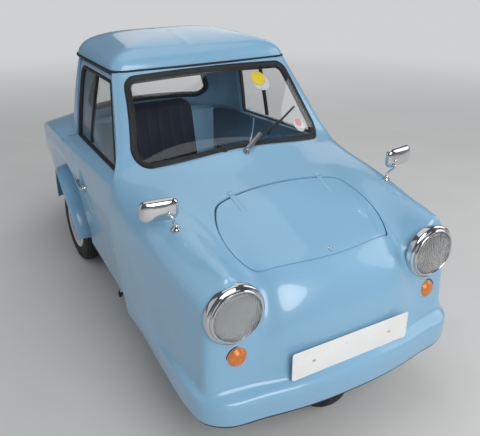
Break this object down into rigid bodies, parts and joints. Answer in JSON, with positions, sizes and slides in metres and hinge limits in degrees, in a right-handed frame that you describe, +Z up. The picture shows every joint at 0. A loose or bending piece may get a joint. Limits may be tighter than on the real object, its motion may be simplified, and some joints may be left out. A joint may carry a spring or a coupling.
{
  "type": "three wheeled car",
  "caption": "Small enclosed single-seat microcar with a moulded body, one steered wheel in front and two behind, hinged doors and lids.",
  "frame": {"origin": "on the ground under the middle of the whole car", "axes": "+Z up, the car faces -Y, its right side is -X"},
  "size_m": [1.176, 2.8013, 1.3433],
  "materials": {
    "body_paint": "high gloss light blue",
    "inner_paint": "satin light blue",
    "black_rubber": "matte black",
    "chrome": "polished",
    "clear_glass": "clear",
    "lamp_glass": "fluted clear",
    "amber_lens": "amber",
    "red_lens": "red",
    "tyre_rubber": "matte black",
    "wheel_paint": "satin silver grey",
    "black_steel": "satin black",
    "engine_metal": "cast",
    "pipe_steel": "dull",
    "seat_vinyl": "dark navy grained",
    "plate_white": "blank white",
    "dash_plastic": "black"
  },
  "bodies": {
    "car": {"front_shell": "body_paint", "rear_shell": "body_paint", "roof": "body_paint", "mudguards": "body_paint", "floor_pan": "inner_paint", "roof_gutter": "black_rubber", "windscreen_seal": "black_rubber", "rear_window_seal": "black_rubber", "edge_strip": "black_rubber", "windscreen_glass": "clear_glass", "rear_window_glass": "clear_glass", "headlamp_rims": "chrome", "headlamp_lenses": "lamp_glass", "front_indicators": "amber_lens", "tail_lamps": "red_lens", "number_plates": "plate_white", "wing_mirrors": "chrome", "wiper": "chrome", "chassis_frame": "black_steel", "trailing_arms": "black_steel", "steering_column": "black_steel", "seat_cushion": "seat_vinyl", "seat_back": "seat_vinyl", "seat_frame": "black_steel", "dashboard": "dash_plastic", "door_hinges": "black_steel", "engine_block": "engine_metal", "exhaust": "pipe_steel"},
    "fork": {"front_fork": "black_steel"},
    "front_wheel": {"front_rim": "wheel_paint", "front_tyre": "tyre_rubber"},
    "rear_wheel_left": {"rear_left_rim": "wheel_paint", "rear_left_tyre": "tyre_rubber"},
    "rear_wheel_right": {"rear_right_rim": "wheel_paint", "rear_right_tyre": "tyre_rubber"},
    "tiller_bar": {"tiller": "black_steel"},
    "link": {"drag_link": "pipe_steel"},
    "left_door": {"door_left": "body_paint", "door_glass_left": "clear_glass", "door_handle_left": "chrome"},
    "right_door": {"door_right": "body_paint", "door_glass_right": "clear_glass", "door_handle_right": "chrome"},
    "bonnet": {"bonnet_lid": "body_paint"},
    "engine_cover": {"engine_lid": "body_paint"}
  },
  "joints": [
    {"name": "front_steering", "type": "hinge", "parent": "car", "child": "fork", "pos_m": [0, -1.02327, 0.56746], "axis": [0, 0.2079, 0.9781], "range_deg": [-35, 35]},
    {"name": "front_wheel_spin", "type": "hinge", "parent": "fork", "child": "front_wheel", "pos_m": [0, -1.095, 0.23], "axis": [1, 0, 0], "continuous": true},
    {"name": "rear_left_spin", "type": "hinge", "parent": "car", "child": "rear_wheel_left", "pos_m": [0.436, 0.56, 0.23], "axis": [1, 0, 0], "continuous": true},
    {"name": "rear_right_spin", "type": "hinge", "parent": "car", "child": "rear_wheel_right", "pos_m": [-0.436, 0.56, 0.23], "axis": [1, 0, 0], "continuous": true},
    {"name": "tiller_turn", "type": "hinge", "parent": "car", "child": "tiller_bar", "pos_m": [-0.124, -0.52, 0.33], "axis": [0, 0.2079, 0.9781], "range_deg": [-35, 35]},
    {"name": "link_swing", "type": "hinge", "parent": "fork", "child": "link", "pos_m": [-0.07, -1.02743, 0.5479], "axis": [0, 0.2079, 0.9781], "range_deg": [-35, 35]},
    {"name": "left_door_hinge", "type": "hinge", "parent": "car", "child": "left_door", "pos_m": [0.559, -0.503, 0.6], "axis": [0, 0, -1], "range_deg": [0, 62]},
    {"name": "right_door_hinge", "type": "hinge", "parent": "car", "child": "right_door", "pos_m": [-0.559, -0.503, 0.6], "axis": [0, 0, 1], "range_deg": [0, 62]},
    {"name": "bonnet_hinge", "type": "hinge", "parent": "car", "child": "bonnet", "pos_m": [0, -0.822, 0.858], "axis": [-1, 0, 0], "range_deg": [0, 50]},
    {"name": "engine_cover_hinge", "type": "hinge", "parent": "car", "child": "engine_cover", "pos_m": [0, 0.72, 0.866], "axis": [1, 0, 0], "range_deg": [0, 55]}
  ],
  "couplings": [
    {"joint": "tiller_turn", "follows": "front_steering", "ratio": 1},
    {"joint": "link_swing", "follows": "front_steering", "ratio": -1}
  ]
}
